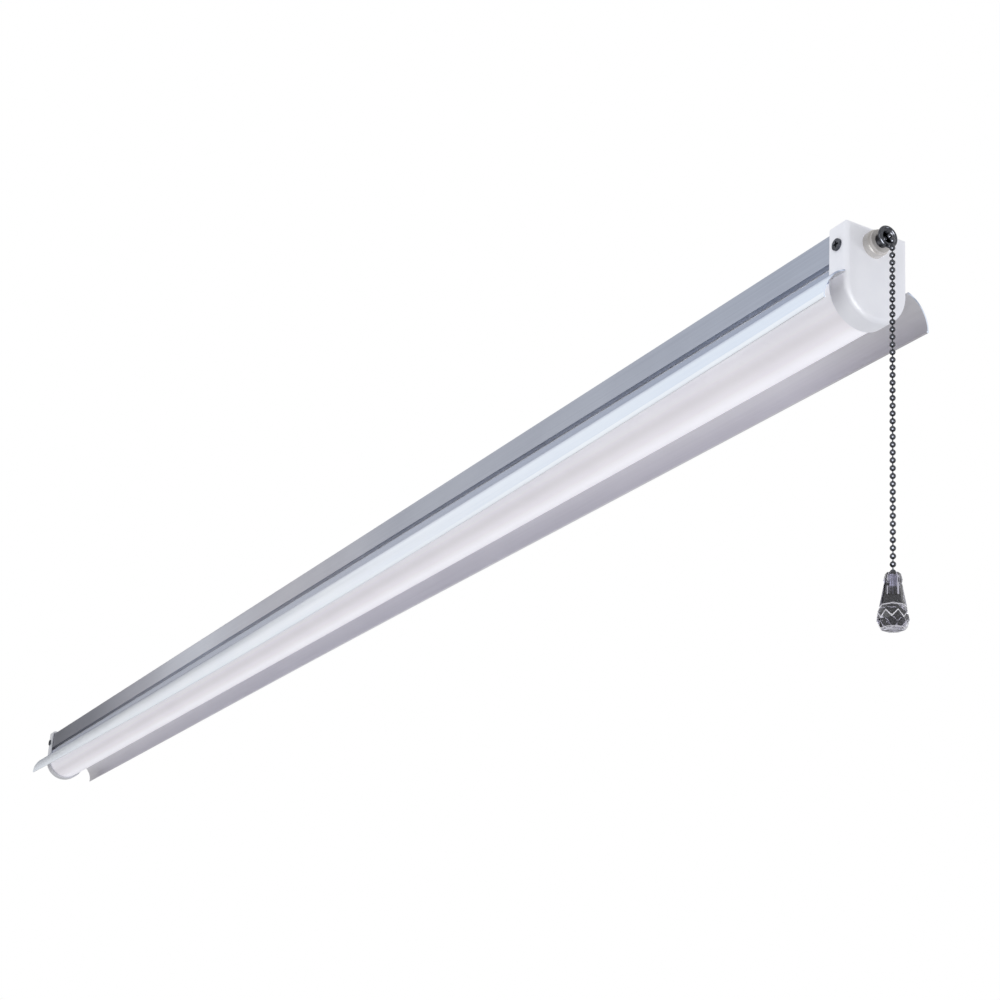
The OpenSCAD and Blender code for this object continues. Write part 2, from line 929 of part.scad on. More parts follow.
module switch_cover() {
    color("#5a4636")
        difference() {
            translate([base_back, base_y - base_w / 2, base_low])
                cube([base_l, base_w, base_t]);
            translate([drum_x, drum_y, base_low + base_t / 2])
                cylinder(h = base_t, d = pin_d + 2 * pin_run);
        }
}

module nozzle_profile() {
    bore = nozzle_bore / 2;
    tube = nozzle_d / 2;
    lip = bell_d / 2 - lip_r;
    start = -cap_face_t - nozzle_in;
    mouth = mouth_x - half_l;
    flare = mouth - bell_l;
    translate([bore, start])
        square([tube - bore, flare - start]);
    difference() {
        intersection() {
            translate([bore, flare]) square([lip - bore + lip_r, bell_l - lip_r / 2]);
            translate([bore + flare_in_r, flare]) circle(r = flare_in_r);
        }
        translate([tube + flare_out_r, flare]) circle(r = flare_out_r);
    }
    translate([lip, mouth - lip_r]) circle(r = lip_r);
}

module switch_nozzle() {
    color("#8c9096")
        translate([half_l, axis_y, axis_z])
            rotate([0, 90, 0])
                rotate_extrude() nozzle_profile();
}

module switch_collar() {
    r = collar_d / 2;
    color("#f1ece6")
        translate([half_l, axis_y, axis_z])
            rotate([0, 90, 0])
                difference() {
                    union() {
                        cylinder(h = collar_l - collar_edge, r = r);
                        translate([0, 0, collar_l - collar_edge])
                            cylinder(h = collar_edge, r1 = r, r2 = r - collar_edge);
                        cylinder(h = collar_l + collar_nose_l, d = collar_nose_d);
                    }
                    translate([0, 0, -over])
                        cylinder(
                            h = collar_l + collar_nose_l + 2 * over,
                            d = nozzle_d + 2 * nozzle_run_gap
                        );
                }
}

module drum_pin() {
    color("#b0b0b4")
        translate([drum_x, drum_y, base_low + base_t / 2])
            cylinder(h = base_h - base_t, d = pin_d);
}

module pull_drum() {
    color("#e6e2d6")
        translate([drum_x, drum_y, axis_z])
            difference() {
                union() {
                    cylinder(h = drum_t, r = drum_hub_r, center = true);
                    for (s = [-1, 1])
                        translate([0, 0, s * (drum_t - drum_flange_t) / 2])
                            cylinder(h = drum_flange_t, r = drum_flange_r, center = true);
                }
                cylinder(h = drum_t + 2 * over, d = pin_d + 2 * pin_run, center = true);
            }
}

module contact_rotor() {
    color("#8a6a3c")
        translate([drum_x, drum_y, rotor_top - rotor_t])
            difference() {
                cylinder(h = rotor_t, r = rotor_r);
                translate([0, 0, -over])
                    cylinder(h = rotor_t + 2 * over, d = pin_d + 2 * pin_run);
                for (s = [-1, 1])
                    translate([s * (rotor_r - bridge_t), 0, rotor_t / 2])
                        cube([2 * bridge_t, bridge_w, rotor_t + over], center = true);
            }
}

module contact_blades() {
    color("#c9a23e")
        for (s = [-1, 1])
            translate([
                drum_x + s * (rotor_r + blade_gap + blade_t / 2),
                drum_y,
                base_low + base_t + blade_h / 2
            ])
                cube([blade_t, blade_l, blade_h], center = true);
}

// Return spring: one wire tube wound round the pin, with its least gap printed
spring_rings = 8;
spring_sides = 6;
spring_steps = ceil(spring_rings * spring_curls);
spring_least = spring_pitch - spring_wire;
echo("least gap between the spring's curls", spring_least);

module return_spring() {
    points = [
        for (i = [0 : spring_steps], k = [0 : spring_sides - 1])
            let (a = 360 * i / spring_rings, b = 360 * k / spring_sides)
            let (r = spring_r + spring_wire / 2 * cos(b))
            [r * cos(a), r * sin(a), spring_pitch * i / spring_rings + spring_wire / 2 * sin(b)]
    ];
    sides = [
        for (i = [0 : spring_steps - 1], k = [0 : spring_sides - 1])
            let (k2 = (k + 1) % spring_sides, a = i * spring_sides, b = (i + 1) * spring_sides)
            each [[a + k, b + k, b + k2], [a + k, b + k2, a + k2]]
    ];
    last = spring_steps * spring_sides;
    ends = [
        for (k = [1 : spring_sides - 2])
            each [[0, k, k + 1], [last, last + k + 1, last + k]]
    ];
    color("#9a9ca2")
        translate([drum_x, drum_y, spring_z])
            polyhedron(points, concat(sides, ends));
}

// Ball chain: hollow beads joined by links with a head in each bead
module bead() {
    difference() {
        sphere(r = bead_r, $fn = 24);
        sphere(r = bead_r - bead_t, $fn = 24);
        cylinder(h = bead_d + over, r = hole_r, center = true, $fn = 16);
    }
}

// A bead with a slot below, in which its lower link can swing across the given turn
module slotted_bead(turn) {
    difference() {
        bead();
        rotate([0, 0, turn])
            translate([0, 0, -bead_r])
                cube([slot_w, bead_d + over, bead_d], center = true);
    }
}

// The link below a bead at the origin
module link() {
    union() {
        translate([0, 0, -head_off]) sphere(d = head_d, $fn = 16);
        translate([0, 0, head_off - bead_pitch]) sphere(d = head_d, $fn = 16);
        translate([0, 0, head_off - bead_pitch])
            cylinder(h = bead_pitch - 2 * head_off, d = rod_d, $fn = 16);
    }
}

module at_bead(i) {
    translate([chain_x, axis_y, bead_z(i)]) children();
}

module inner_chain() {
    color("#63605c")
        for (i = [0 : inner_beads - 1])
            translate([inner_x - i * bead_pitch, axis_y, axis_z])
                rotate([0, 90, 0]) {
                    bead();
                    if (i < inner_beads - 1) link();
                }
}

module drum_chain() {
    color("#63605c")
        translate([drum_x, drum_y, axis_z])
            for (i = [1 : wrap_beads])
                rotate([0, 0, -i * wrap_step])
                    translate([0, -drum_r, 0])
                        rotate([0, 90, 0]) bead();
}

module turning_bead(i) {
    translate([turn_x(i), axis_y, turn_z(i)])
        rotate([0, -turn_angle(i), 0]) bead();
}

module bend_bead_inner() {
    color("#63605c") turning_bead(2);
}

module bend_bead_outer() {
    color("#63605c") turning_bead(1);
}

module top_bead() {
    color("#63605c") at_bead(0) slotted_bead(0);
}

module swing_links() {
    color("#63605c")
        for (i = [0 : swing_last - 1]) {
            at_bead(i) link();
            at_bead(i + 1)
                if (i == swing_last - 1) slotted_bead(90);
                else bead();
        }
}

module chain_beads() {
    color("#63605c")
        for (i = [swing_last + 1 : run_last])
            at_bead(i)
                if (i == run_last) slotted_bead(0);
                else bead();
}

module chain_links() {
    color("#55524e")
        for (i = [swing_last : run_last - 1])
            at_bead(i) link();
}

module knob_link() {
    color("#63605c") {
        at_bead(run_last) link();
        at_bead(run_last + 1) slotted_bead(90);
    }
}

module knob_hanger() {
    color("#63605c") {
        at_bead(run_last + 1) link();
        at_bead(run_last + 2) bead();
    }
}

// Knob: rings of facets, turned by half a facet where they change
module knob_stone() {
    n = len(knob_level_share);
    top_r = knob_top_w / 2;
    points = [
        for (i = [0 : n - 1], k = [0 : knob_facets - 1])
            let (
                r = top_r + knob_size_share[i] * (knob_w / 2 - top_r),
                a = 360 * (k + knob_turn_share[i]) / knob_facets
            )
            [r * cos(a), r * sin(a), -knob_level_share[i] * knob_h]
    ];
    sides = [
        for (i = [0 : n - 2], k = [0 : knob_facets - 1])
            let (
                k2 = (k + 1) % knob_facets,
                a = i * knob_facets,
                b = (i + 1) * knob_facets,
                late = knob_turn_share[i] > knob_turn_share[i + 1]
            )
            each late
                ? [[a + k, a + k2, b + k2], [a + k, b + k2, b + k]]
                : [[a + k, a + k2, b + k], [a + k2, b + k2, b + k]]
    ];
    last = (n - 1) * knob_facets;
    ends = [
        for (k = [1 : knob_facets - 2])
            each [[0, k + 1, k], [last, last + k, last + k + 1]]
    ];
    polyhedron(points, concat(sides, ends));
}

module knob_body() {
    color([0.86, 0.86, 0.9, 0.5])
        translate([chain_x, axis_y, knob_top])
            difference() {
                knob_stone();
                translate([0, 0, -socket_l])
                    cylinder(h = socket_l + over, d = socket_d);
                translate([0, 0, -socket_l - cup_l])
                    cylinder(h = cup_l + cup_fit, d = cup_d + 2 * cup_fit);
                translate([0, 0, -knob_pin_z])
                    rotate([90, 0, 0])
                        cylinder(h = 2 * knob_w, d = knob_pin_d + 2 * knob_pin_fit, center = true);
            }
}

module knob_connector() {
    color("#4c4a48")
        translate([chain_x, axis_y, knob_top - socket_l - cup_l])
            difference() {
                cylinder(h = cup_l - cup_fit, d = cup_d);
                translate([0, 0, cup_t])
                    cylinder(h = cup_l - cup_fit - 2 * cup_t, d = cup_d - 2 * cup_t);
                cylinder(h = cup_l + over, d = cup_mouth_d);
                translate([0, 0, socket_l + cup_l - knob_pin_z])
                    rotate([90, 0, 0])
                        cylinder(h = cup_d + over, d = knob_pin_d + 2 * knob_pin_fit, center = true);
            }
}

module knob_pin() {
    color("#4c4a48")
        translate([chain_x, axis_y, knob_top - knob_pin_z])
            rotate([90, 0, 0])
                cylinder(h = knob_top_w + 2 * knob_pin_out, d = knob_pin_d, center = true);
}

housing_channel();
gear_tray();
reflector();
reflector_rivets();
led_board_near();
led_board_far();
led_chips_near();
led_chips_far();
board_screws();
board_connector();
diffuser();
end_cap_near();
end_cap_far();
cap_screws_near();
cap_screws_far();
driver_case();
driver_lid();
driver_board();
driver_transformer();
driver_capacitors();
driver_choke();
driver_screws();
terminal_block();
terminal_screws();
cord_grommet();
supply_leads();
switch_leads();
led_leads();
switch_base();
switch_cover();
switch_nozzle();
switch_collar();
drum_pin();
pull_drum();
drum_chain();
return_spring();
contact_rotor();
contact_blades();
inner_chain();
bend_bead_inner();
bend_bead_outer();
top_bead();
swing_links();
chain_beads();
chain_links();
knob_link();
knob_hanger();
knob_body();
knob_connector();
knob_pin();
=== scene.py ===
import math

import bmesh
import bpy
from mathutils import Matrix, Vector


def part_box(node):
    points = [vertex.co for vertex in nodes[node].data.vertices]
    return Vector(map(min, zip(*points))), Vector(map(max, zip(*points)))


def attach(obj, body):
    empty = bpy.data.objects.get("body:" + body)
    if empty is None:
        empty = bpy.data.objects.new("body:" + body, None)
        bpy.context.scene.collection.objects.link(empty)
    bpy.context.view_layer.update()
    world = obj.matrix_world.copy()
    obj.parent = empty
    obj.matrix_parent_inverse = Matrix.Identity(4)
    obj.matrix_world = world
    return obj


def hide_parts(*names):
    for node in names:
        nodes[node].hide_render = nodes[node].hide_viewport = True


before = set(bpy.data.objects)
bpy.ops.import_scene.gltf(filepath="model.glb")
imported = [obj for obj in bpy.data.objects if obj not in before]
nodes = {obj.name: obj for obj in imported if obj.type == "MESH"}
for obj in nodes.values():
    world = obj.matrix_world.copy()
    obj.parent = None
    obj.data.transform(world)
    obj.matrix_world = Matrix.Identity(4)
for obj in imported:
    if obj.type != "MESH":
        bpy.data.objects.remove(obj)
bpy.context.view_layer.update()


# The camera looks up at the hung light from beyond its near end, low and to the left
# of the pull chain. Its 66 mm lens is shifted a little, as the photograph is framed.
yaw = -1.0759
pitch = 0.28952
roll = 0.06191
eye = (1.14483218, -0.4652209, -0.40549052)
ahead = Vector((math.sin(yaw) * math.cos(pitch), math.cos(yaw) * math.cos(pitch), math.sin(pitch)))
level = Vector((math.cos(yaw), -math.sin(yaw), 0))
above = level.cross(ahead)
right = math.cos(roll) * level + math.sin(roll) * above
up = math.cos(roll) * above - math.sin(roll) * level
stand = Matrix((right, up, -ahead)).transposed().to_4x4()
stand.translation = eye
camera_data = bpy.data.cameras.new("camera")
camera_data.lens = 65.944
camera_data.sensor_width = 36
camera_data.shift_y = 0.15
camera_data.clip_start = 0.01
camera_data.clip_end = 50
camera = bpy.data.objects.new("camera", camera_data)
camera.matrix_world = stand
bpy.context.collection.objects.link(camera)
bpy.context.scene.camera = camera


# The studio: a plain pale floor under the hung light, a white surround and two soft
# lamps. Its cards are hidden from the camera and show only in polished or clear surfaces.
scene = bpy.context.scene
scene.view_settings.view_transform = "Standard"
surround_light = 0.72
floor_level = -1.1
floor_width = 80
floor_grey = (0.86, 0.86, 0.86, 1)
card_black = (0.01, 0.01, 0.012, 1)
knob_middle = (0.612, -0.002, -0.17)


# One node of a finish: each feed is another node's output or a plain value
def step(tree, kind, feeds, **settings):
    made = tree.nodes.new("ShaderNode" + kind)
    for name, value in settings.items():
        setattr(made, name, value)
    for socket, feed in feeds.items():
        if isinstance(feed, bpy.types.NodeSocket):
            tree.links.new(feed, made.inputs[socket])
        else:
            made.inputs[socket].default_value = feed
    return made


# A white picture behind the light, whose strength as a lamp is lower
world = bpy.data.worlds.new("surround")
world.use_nodes = True
scene.world = world
sky = world.node_tree
backdrop = sky.nodes["Background"].inputs
backdrop["Color"].default_value = (1, 1, 1, 1)
rays = step(sky, "LightPath", {}).outputs
seen = rays["Is Camera Ray"]
for ray in ("Is Glossy Ray", "Is Transmission Ray"):
    seen = step(sky, "Math", {0: seen, 1: rays[ray]}, operation="MAXIMUM").outputs[0]
strength = step(sky, "Mix", {"Factor": seen, "A": surround_light, "B": 1})
sky.links.new(strength.outputs["Result"], backdrop["Strength"])


def bare_finish(name):
    made = bpy.data.materials.new(name)
    made.use_nodes = True
    return made


def stage_sheet(name, wide, high, place, colour, rough):
    sheet = bmesh.new()
    bmesh.ops.create_grid(sheet, x_segments=1, y_segments=1, size=0.5)
    bmesh.ops.scale(sheet, vec=(wide, high, 1), verts=sheet.verts)
    bmesh.ops.transform(sheet, matrix=place, verts=sheet.verts)
    data = bpy.data.meshes.new(name)
    sheet.to_mesh(data)
    sheet.free()
    paint = bare_finish(name)
    surface = paint.node_tree.nodes["Principled BSDF"].inputs
    surface["Base Color"].default_value = colour
    surface["Roughness"].default_value = rough
    data.materials.append(paint)
    made = bpy.data.objects.new(name, data)
    bpy.context.collection.objects.link(made)
    return made, surface


stage_sheet("floor", floor_width, floor_width, Matrix.Translation((0, 0, floor_level)), floor_grey, rough=0.9)


# A place at a spot, with its Z axis along the given direction
def placed(spot, direction):
    return Matrix.Translation(spot) @ direction.to_track_quat("Z", "Y").to_matrix().to_4x4()


def soft_lamp(name, spot, aim, wide, high, watts, tint):
    data = bpy.data.lights.new(name, "AREA")
    data.shape = "RECTANGLE"
    data.size = wide
    data.size_y = high
    data.energy = watts
    data.color = tint
    lamp = bpy.data.objects.new(name, data)
    lamp.matrix_world = placed(spot, Vector(spot) - Vector(aim))
    bpy.context.collection.objects.link(lamp)


soft_lamp("side_lamp", (0.9, -1.9, 0.1), (0.2, 0, 0), wide=1.6, high=1.2, watts=9, tint=(0.94, 0.97, 1))
soft_lamp("front_lamp", (1.9, 1.3, -0.4), (0.6, 0, 0), wide=0.5, high=0.5, watts=7, tint=(0.95, 0.97, 1))


def card(name, spot, aim, wide, high, glow=0, glossy=False, clear=False):
    place = placed(spot, Vector(aim) - Vector(spot))
    made, surface = stage_sheet(name, wide, high, place, card_black, rough=1)
    surface["Emission Color"].default_value = (1, 1, 1, 1)
    surface["Emission Strength"].default_value = glow
    made.visible_camera = False
    made.visible_diffuse = False
    made.visible_shadow = False
    made.visible_glossy = glossy
    made.visible_transmission = clear


# The far card and the four round the knob are dark, and the other two shine
card("far_card", (-2.2, 0.2, 0.55), (0, 0, 0.2), wide=1.5, high=1.2, glossy=True)
card("chain_card", (0.76, -0.13, -0.17), (0.612, -0.002, -0.09), wide=0.2, high=0.2, glow=14, glossy=True)
card("floor_card", (-0.9, -1, -0.55), (-0.9, -1, 0), wide=3, high=1.4, glow=0.85, glossy=True)
for side, spot, wide, high in (
    ("right", (0.5682, 0.1354, -0.129), 0.12, 0.2),
    ("left", (0.4698, 0.0222, -0.139), 0.12, 0.14),
    ("above", (0.4618, 0.1686, 0.0542), 0.32, 0.1),
    ("below", (0.5011, 0.0943, -0.172), 0.2, 0.2),
):
    card("knob_card_" + side, spot, knob_middle, wide, high, clear=True)


# Housing: a long channel rolled from 1 mm steel, open below, with a satin brushed
# finish whose fine grain runs along the light. It hangs from four holes in its top.
far_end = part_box("end_cap_far")[0].x
near_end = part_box("end_cap_near")[1].x
relief_depth = 0.0001


# A colour written as #rrggbb, in the linear values that a shader takes
def linear(hex_colour):
    parts = [int(hex_colour[i:i + 2], 16) / 255 for i in (1, 3, 5)]
    return [part / 12.92 if part <= 0.04045 else ((part + 0.055) / 1.055) ** 2.4 for part in parts] + [1]


# Colours at stops from 0 to 1 along a measure
def ramp(tree, measure, stops, blend="LINEAR"):
    band = step(tree, "ValToRGB", {"Fac": measure})
    band.color_ramp.interpolation = blend
    ends = band.color_ramp.elements
    for end, (spot, colour) in zip(ends, (stops[0], stops[-1])):
        end.position = spot
        end.color = colour
    for spot, colour in stops[1:-1]:
        ends.new(spot).color = colour
    return band.outputs["Color"]


# A value that goes from start to end, brought to go from low to high
def spread(tree, value, start, end, low=0, high=1):
    feeds = {"Value": value, "From Min": start, "From Max": end, "To Min": low, "To Max": high}
    return step(tree, "MapRange", feeds).outputs["Result"]


# Where a point of the piece lies along an axis
def place_along(tree, axis):
    where = step(tree, "TexCoord", {}).outputs["Object"]
    return step(tree, "SeparateXYZ", {0: where}).outputs[axis]


# Multiplies a finish's colour by tones along a measure
def tint_by(material, measure, stops, blend="EASE"):
    tree = material.node_tree
    colour = tree.nodes["Principled BSDF"].inputs["Base Color"]
    tones = ramp(tree, measure, [(spot, linear(tone)) for spot, tone in stops], blend)
    feeds = {"Factor": 1, "A": colour.links[0].from_socket, "B": tones}
    mixed = step(tree, "Mix", feeds, data_type="RGBA", blend_type="MULTIPLY")
    tree.links.new(mixed.outputs["Result"], colour)


# Tones from one place to another along an axis
def shade(material, axis, start, end, stops):
    tree = material.node_tree
    tint_by(material, spread(tree, place_along(tree, axis), start, end), stops)


# Joins colour, roughness and relief to a finish's shader
def coat(tree, colour, roughness, height, bump):
    surface = tree.nodes["Principled BSDF"].inputs
    relief = step(tree, "Bump", {"Height": height, "Strength": bump, "Distance": relief_depth})
    tree.links.new(colour, surface["Base Color"])
    tree.links.new(roughness, surface["Roughness"])
    tree.links.new(relief.outputs["Normal"], surface["Normal"])


def dress(material, *names):
    for name in names:
        for slot in nodes[name].material_slots:
            slot.material = material


# Fine lines along the light, and slow clouds over the whole piece
def grain_group():
    group = bpy.data.node_groups.new("grain", "ShaderNodeTree")
    for name in ("Along", "Across"):
        group.interface.new_socket(name, in_out="INPUT", socket_type="NodeSocketFloat")
    for name in ("Grain", "Cloud"):
        group.interface.new_socket(name, in_out="OUTPUT", socket_type="NodeSocketFloat")
    given = group.nodes.new("NodeGroupInput").outputs
    out = group.nodes.new("NodeGroupOutput").inputs
    where = step(group, "TexCoord", {}).outputs["Object"]
    lines = {"X": given["Along"], "Y": given["Across"], "Z": given["Across"]}
    stretch = step(group, "CombineXYZ", lines).outputs["Vector"]
    drawn = step(group, "VectorMath", {0: where, 1: stretch}, operation="MULTIPLY").outputs["Vector"]
    fine = step(group, "TexNoise", {"Vector": drawn, "Scale": 1, "Detail": 3, "Roughness": 0.7})
    wide = step(group, "TexNoise", {"Vector": where, "Scale": 14, "Detail": 4})
    group.links.new(fine.outputs["Fac"], out["Grain"])
    group.links.new(wide.outputs["Fac"], out["Cloud"])
    return group


grain = grain_group()


# Metal with grain: roughness where it is smoothest and roughest, and the grain's lines
# per metre along and across the light
def metal_finish(name, pale, dark, smooth, rough, along=6, across=1800, metal=1, bump=0.15):
    grain_share = 0.6
    cloud_share = 0.4
    made = bare_finish(name)
    tree = made.node_tree
    tree.nodes["Principled BSDF"].inputs["Metallic"].default_value = metal
    lines = step(tree, "Group", {"Along": along, "Across": across}, node_tree=grain).outputs
    cloud = step(tree, "Math", {0: lines["Cloud"], 1: cloud_share}, operation="MULTIPLY")
    feeds = {0: lines["Grain"], 1: grain_share, 2: cloud.outputs[0]}
    both = step(tree, "Math", feeds, operation="MULTIPLY_ADD")
    tone = ramp(tree, both.outputs[0], [(0.35, linear(dark)), (0.65, linear(pale))])
    roughness = spread(tree, lines["Grain"], start=0.3, end=0.7, low=smooth, high=rough)
    coat(tree, tone, roughness, lines["Grain"], bump)
    return made


satin_steel = metal_finish("brushed_housing", "#d0d3dc", "#bcbfca", smooth=0.32, rough=0.44)
# Painted reflection and shade: darkest at the far end, brightest a third of the way in
shade(satin_steel, "X", start=far_end, end=near_end, stops=[
    (0, "#8c8c90"), (0.1, "#a6a6ab"), (0.22, "#dad8da"), (0.33, "#ffffff"),
    (0.5, "#e6e3e3"), (0.68, "#d4d6da"), (1, "#ced3da"),
])
dress(satin_steel, "housing_channel")


# Gear tray and rivets: a zinc-plated strip, folded like a hat, that hangs on the
# housing's lips. It carries the driver above and the riveted reflector below.
tray_zinc = metal_finish(
    "tray_zinc", "#f6f7fc", "#e4e6ec", smooth=0.35, rough=0.5, along=40, across=700, metal=0.3,
)
dress(tray_zinc, "gear_tray")
rivet_alloy = metal_finish("rivet_alloy", "#c6c8cc", "#a6a8ac", smooth=0.3, rough=0.4, along=900, across=900)
dress(rivet_alloy, "reflector_rivets")


# Reflector: one thin bright sheet, bent to a raised middle and two curved wings, with
# a rolled hem along each free edge. At mid-length the wings curl a little further in.
reflector_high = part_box("reflector")[1]
sheet_thickness = 0.0007
wing_outside = 0.0165
wing_inside = wing_outside - sheet_thickness
hem_radius = 0.0006
roof = reflector_high.z
middle_y = 0.0154
middle_drop = 0.0046
wing_y = reflector_high.y - wing_outside
wing_z = roof - middle_drop - wing_outside
wing_centre = (wing_y, wing_z)
hem_centre = (reflector_high.y - hem_radius, wing_z)
wall_foot = -0.02269
middle_end = 0.5887
# Angles from straight up on the sheet's inner and outer face: where the wall meets
# the curve, where the middle ends, where the wing begins, and where it meets its hem
quarter_turn = math.pi / 2
wall_inside, wall_outside = 0.174, 0.1921
lap_inside, lap_outside = 0.3292, 0.3145
root_inside, root_outside = 0.3254, 0.311
tip_inside, tip_outside = quarter_turn - 0.03, quarter_turn - 0.02
hem_start, hem_end = quarter_turn - 2.7, -3 * quarter_turn
# The wing's curl at mid-length, the line about which it turns, and how far from that
# line the hem's finish begins
curl = math.radians(18)
root = (0.0173, -0.02296)
hem_reach = 0.0183
wing_steps = 30
fold_angle = math.radians(35)

wing_sheet = metal_finish(
    "wing_sheet", "#f7faff", "#eef3fc", smooth=0.3, rough=0.4, along=9, across=1200, metal=0.5, bump=0.06,
)
# Painted shade under the housing: darker towards the top, paler just below the roots
shade(wing_sheet, "Z", start=-0.0306, end=-0.0206, stops=[
    (0, "#ffffff"), (0.22, "#f0f0f4"), (0.44, "#b8bac4"), (0.57, "#b8bac4"),
    (0.68, "#eceef4"), (0.78, "#b8bac4"), (1, "#b8bac4"),
])
# Painted shade: the sheet darkens a little towards the near end
shade(wing_sheet, "X", start=0, end=0.55, stops=[(0, "#ffffff"), (1, "#e9eff6")])
wing_hem = metal_finish(
    "wing_hem", "#f4f9ff", "#ecf2fb", smooth=0.3, rough=0.4, along=9, across=1200, metal=0.3, bump=0.06,
)
wing_inner = metal_finish(
    "wing_inner", "#fafafc", "#f0f0f3", smooth=0.4, rough=0.48, along=9, across=900, metal=0.7, bump=0.06,
)
# Painted shade on the inner faces: darker towards the wing tips and towards the near end
inner_tree = wing_inner.node_tree
outwards = step(inner_tree, "Math", {0: place_along(inner_tree, "Y")}, operation="ABSOLUTE").outputs[0]
inner_painted_shade = [(0, "#f8f8fa"), (0.45, "#e2e1e4"), (1, "#cdcbce")]
tint_by(wing_inner, spread(inner_tree, outwards, start=0.017, end=0.028), inner_painted_shade, "LINEAR")
shade(wing_inner, "X", start=0.5, end=near_end, stops=[(0, "#ffffff"), (1, "#dadada")])


# Points on an arc, by angles from straight up
def arc(radius, start, end, steps, centre=wing_centre):
    angles = [start + (end - start) * i / steps for i in range(steps + 1)]
    return [(centre[0] + radius * math.sin(a), centre[1] + radius * math.cos(a)) for a in angles]


# A closed outline run along the light, turned about a line as it goes
def loft(outline, stations, turn=None, pivot=(0, 0)):
    made = bmesh.new()
    ring = [made.verts.new((stations[0], y, z)) for y, z in outline]
    face = made.faces.new(ring)
    for before, after in zip(stations, stations[1:]):
        grown = bmesh.ops.extrude_face_region(made, geom=[face, *face.edges])["geom"]
        verts = [v for v in grown if isinstance(v, bmesh.types.BMVert)]
        face = next(f for f in grown if isinstance(f, bmesh.types.BMFace))
        bmesh.ops.translate(made, vec=(after - before, 0, 0), verts=verts)
        if turn:
            further = Matrix.Rotation(turn(after) - turn(before), 3, "X")
            bmesh.ops.rotate(made, cent=(0, *pivot), matrix=further, verts=verts)
    made.normal_update()
    return made


# Makes a mesh a piece that rides on its body, with soft curves and sharp folds
def settle(made, name, materials, body, replaced=(), smooth=True):
    bmesh.ops.recalc_face_normals(made, faces=made.faces)
    data = bpy.data.meshes.new(name)
    made.to_mesh(data)
    made.free()
    for material in materials:
        data.materials.append(material)
    data.polygons.foreach_set("use_smooth", [smooth] * len(data.polygons))
    if smooth:
        data.set_sharp_from_angle(angle=fold_angle)
    piece = bpy.data.objects.new(name, data)
    bpy.context.collection.objects.link(piece)
    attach(piece, body)
    if replaced:
        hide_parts(*replaced)


def curl_at(x):
    return -curl * math.cos(math.pi * x / (near_end - far_end))


inner_y = middle_y - sheet_thickness
middle_side = [(inner_y, roof - sheet_thickness), (inner_y, wall_foot)]
middle_side += arc(wing_inside, wall_inside, lap_inside, steps=3)
middle_side += arc(wing_outside, lap_outside, wall_outside, steps=3)
middle_side += [(middle_y, roof)]
middle = loft(middle_side + [(-y, z) for y, z in reversed(middle_side)], (-middle_end, middle_end))
settle(middle, "reflector_middle", [wing_sheet], "light", ["reflector"])

wing_side = arc(wing_inside, root_inside, tip_inside, steps=14)
wing_side += arc(hem_radius, hem_start, hem_end, steps=10, centre=hem_centre)
wing_side += arc(wing_outside, tip_outside, root_outside, steps=15)
stations = [far_end + (near_end - far_end) * i / wing_steps for i in range(wing_steps + 1)]
wings = loft(wing_side, stations, curl_at, root)
bmesh.ops.mirror(wings, geom=wings.faces[:] + wings.edges[:] + wings.verts[:], axis="Y", merge_dist=0)
bmesh.ops.recalc_face_normals(wings, faces=wings.faces)
# The wings' inner faces and hems have finishes of their own
wing_finishes = [wing_sheet, wing_inner, wing_hem]
for face in wings.faces:
    centre = face.calc_center_median()
    inward = Vector((0, math.copysign(wing_y, centre.y) - centre.y, wing_z - centre.z))
    if abs(face.normal.x) < 0.5 and face.normal.dot(inward) > 0:
        face.material_index = wing_finishes.index(wing_inner)
    elif math.hypot(abs(centre.y) - root[0], centre.z - root[1]) > hem_reach:
        face.material_index = wing_finishes.index(wing_hem)
settle(wings, "reflector_wings", wing_finishes, "light")


# Light boards: two white metal-core strips with forty chips each, held by small
# screws under the reflector's middle and joined by a white plug.
def moulded(name, pale, dark, rough, clouds=60, bump=0.05):
    rough_range = 0.08
    skin_grains = 2500
    made = bare_finish(name)
    tree = made.node_tree
    where = step(tree, "TexCoord", {}).outputs["Object"]
    cloud = step(tree, "TexNoise", {"Vector": where, "Scale": clouds, "Detail": 5}).outputs["Fac"]
    skin = step(tree, "TexNoise", {"Vector": where, "Scale": skin_grains}).outputs["Fac"]
    tone = ramp(tree, cloud, [(0.3, linear(dark)), (0.7, linear(pale))])
    roughness = spread(tree, skin, start=0, end=1, low=rough - rough_range, high=rough + rough_range)
    coat(tree, tone, roughness, skin, bump)
    return made


dress(moulded("board_mask", "#f4f5f2", "#eceeea", rough=0.35), "led_board_near", "led_board_far")
dress(moulded("light_chip", "#f3e27a", "#ead45c", rough=0.4, clouds=900), "led_chips_near", "led_chips_far")
bright_screw = metal_finish(
    "bright_screw", "#c9cbd0", "#9b9ea4", smooth=0.22, rough=0.34, along=700, across=700,
)
dress(bright_screw, "board_screws")
dress(moulded("plug_white", "#f3f1e8", "#e9e6da", rough=0.4), "board_connector")


# Lens: a frosted acrylic cover drawn to a deep U. It lies on the wings' roots between
# the two caps. Its tone round its curve is painted light and shade, and it glows with painted light.
painted_light_centre = -0.02705
frosted_lens = moulded("frosted_lens", "#fbfafc", "#f5f3f7", rough=0.45, clouds=25)
lens_tree = frosted_lens.node_tree
lens_surface = lens_tree.nodes["Principled BSDF"].inputs
drop = step(lens_tree, "Math", {0: painted_light_centre, 1: place_along(lens_tree, "Z")}, operation="SUBTRACT")
lean = step(lens_tree, "Math", {0: place_along(lens_tree, "Y"), 1: drop.outputs[0]}, operation="ARCTAN2")
around = spread(lens_tree, lean.outputs[0], start=-quarter_turn, end=quarter_turn)
# Painted light and shade round the lens's curve: a darker band partway down its -Y side
tint_by(frosted_lens, around, [
    (0, "#ffffff"), (0.12, "#f0eff4"), (0.27, "#e2dfe3"),
    (0.38, "#e5e2e7"), (0.52, "#f9f9ff"), (1, "#f4f4fb"),
])
